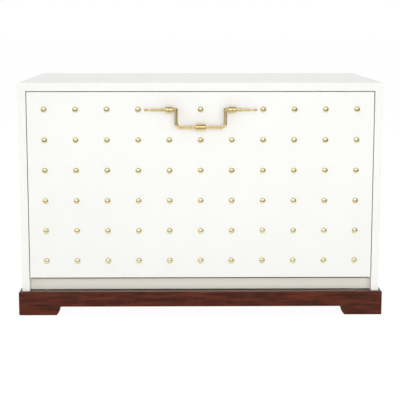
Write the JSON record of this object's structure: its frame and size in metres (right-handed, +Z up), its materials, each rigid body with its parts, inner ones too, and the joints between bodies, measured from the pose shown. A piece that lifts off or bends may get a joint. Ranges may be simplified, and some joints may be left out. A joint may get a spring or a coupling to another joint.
{
  "type": "campaign chest",
  "caption": "Low campaign chest: white lacquered case with a studded drop-down front, a brass bail handle and a mahogany plinth with bracket feet.",
  "frame": {"origin": "on the floor under the middle of the chest, midway between the handle's front and the back", "axes": "+X to the right along the chest's width, +Y from the front to the back, +Z up; the front faces -Y"},
  "size_m": [0.931, 0.484, 0.596],
  "materials": {
    "white_lacquer": "satin white lacquer on board",
    "birch_plywood": "clear matt lacquer on pale plywood and softwood",
    "mahogany": "dark reddish-brown stain under satin polish",
    "handle_brass": "polished cast brass",
    "stud_brass": "pale antique brass, domed nails",
    "hinge_brass": "brushed sheet brass",
    "plated_steel": "bright zinc plate"
  },
  "bodies": {
    "case": {"case_top": "white_lacquer", "left_side": "white_lacquer", "right_side": "white_lacquer", "case_floor": "birch_plywood", "back_panel": "birch_plywood", "front_rail": "white_lacquer", "stop_rail": "white_lacquer", "magnetic_catches": "plated_steel", "shelf": "birch_plywood", "left_shelf_cleat": "birch_plywood", "right_shelf_cleat": "birch_plywood", "plinth_front": "mahogany", "plinth_back": "mahogany", "plinth_left": "mahogany", "plinth_right": "mahogany", "plinth_corner_blocks": "birch_plywood", "case_hinge_leaf": "hinge_brass", "hinge_pin": "plated_steel", "left_stay_guide": "hinge_brass", "right_stay_guide": "hinge_brass"},
    "fall": {"fall_panel": "white_lacquer", "front_studs": "stud_brass", "strike_plates": "plated_steel", "fall_hinge_leaf": "hinge_brass", "left_stay": "hinge_brass", "right_stay": "hinge_brass", "left_handle_post": "handle_brass", "right_handle_post": "handle_brass", "handle_nuts": "handle_brass"},
    "handle": {"bail": "handle_brass", "grip_collar": "handle_brass", "left_spindle": "handle_brass", "right_spindle": "handle_brass"}
  },
  "joints": [
    {"name": "fall_hinge", "type": "hinge", "parent": "case", "child": "fall", "pos_m": [0, -0.193, 0.096], "axis": [1, 0, 0], "range_deg": [0, 90]},
    {"name": "handle_swing", "type": "hinge", "parent": "fall", "child": "handle", "pos_m": [0, -0.233, 0.52925], "axis": [-1, 0, 0], "range_deg": [-10, 188]}
  ]
}
